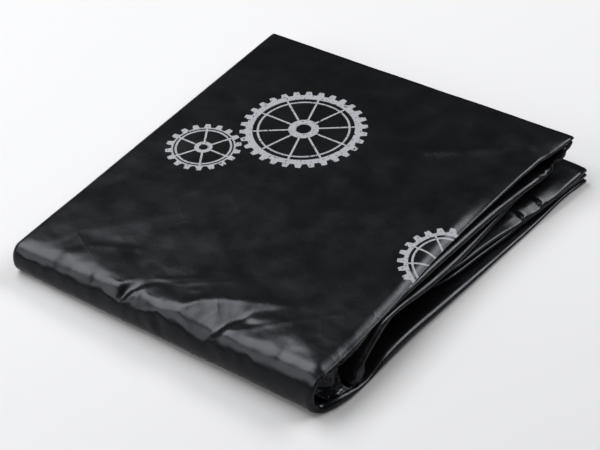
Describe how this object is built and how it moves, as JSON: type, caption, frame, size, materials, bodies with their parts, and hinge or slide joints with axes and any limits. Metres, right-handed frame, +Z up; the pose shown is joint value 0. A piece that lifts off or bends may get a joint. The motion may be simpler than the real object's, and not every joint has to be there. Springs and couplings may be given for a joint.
{
  "type": "folded bicycle cover",
  "caption": "Bicycle cover of black film, pleated into a strip and doubled over into a flat packet, with its soft folds fanned open along one side.",
  "frame": {"origin": "on the flat underside of the folded packet, below the middle of its two legs", "axes": "+Z up from the surface the packet lies on, +Y from the rounded front fold towards the open ends, +X from the wrapped left side towards the side where the folds fan open"},
  "size_m": [0.2623, 0.2978, 0.036],
  "materials": {
    "black_film": "satin-glossy black film, softly creased, with a light grey print on its outer face"
  },
  "bodies": {
    "root": {"folded_cover": "black_film"}
  },
  "joints": []
}
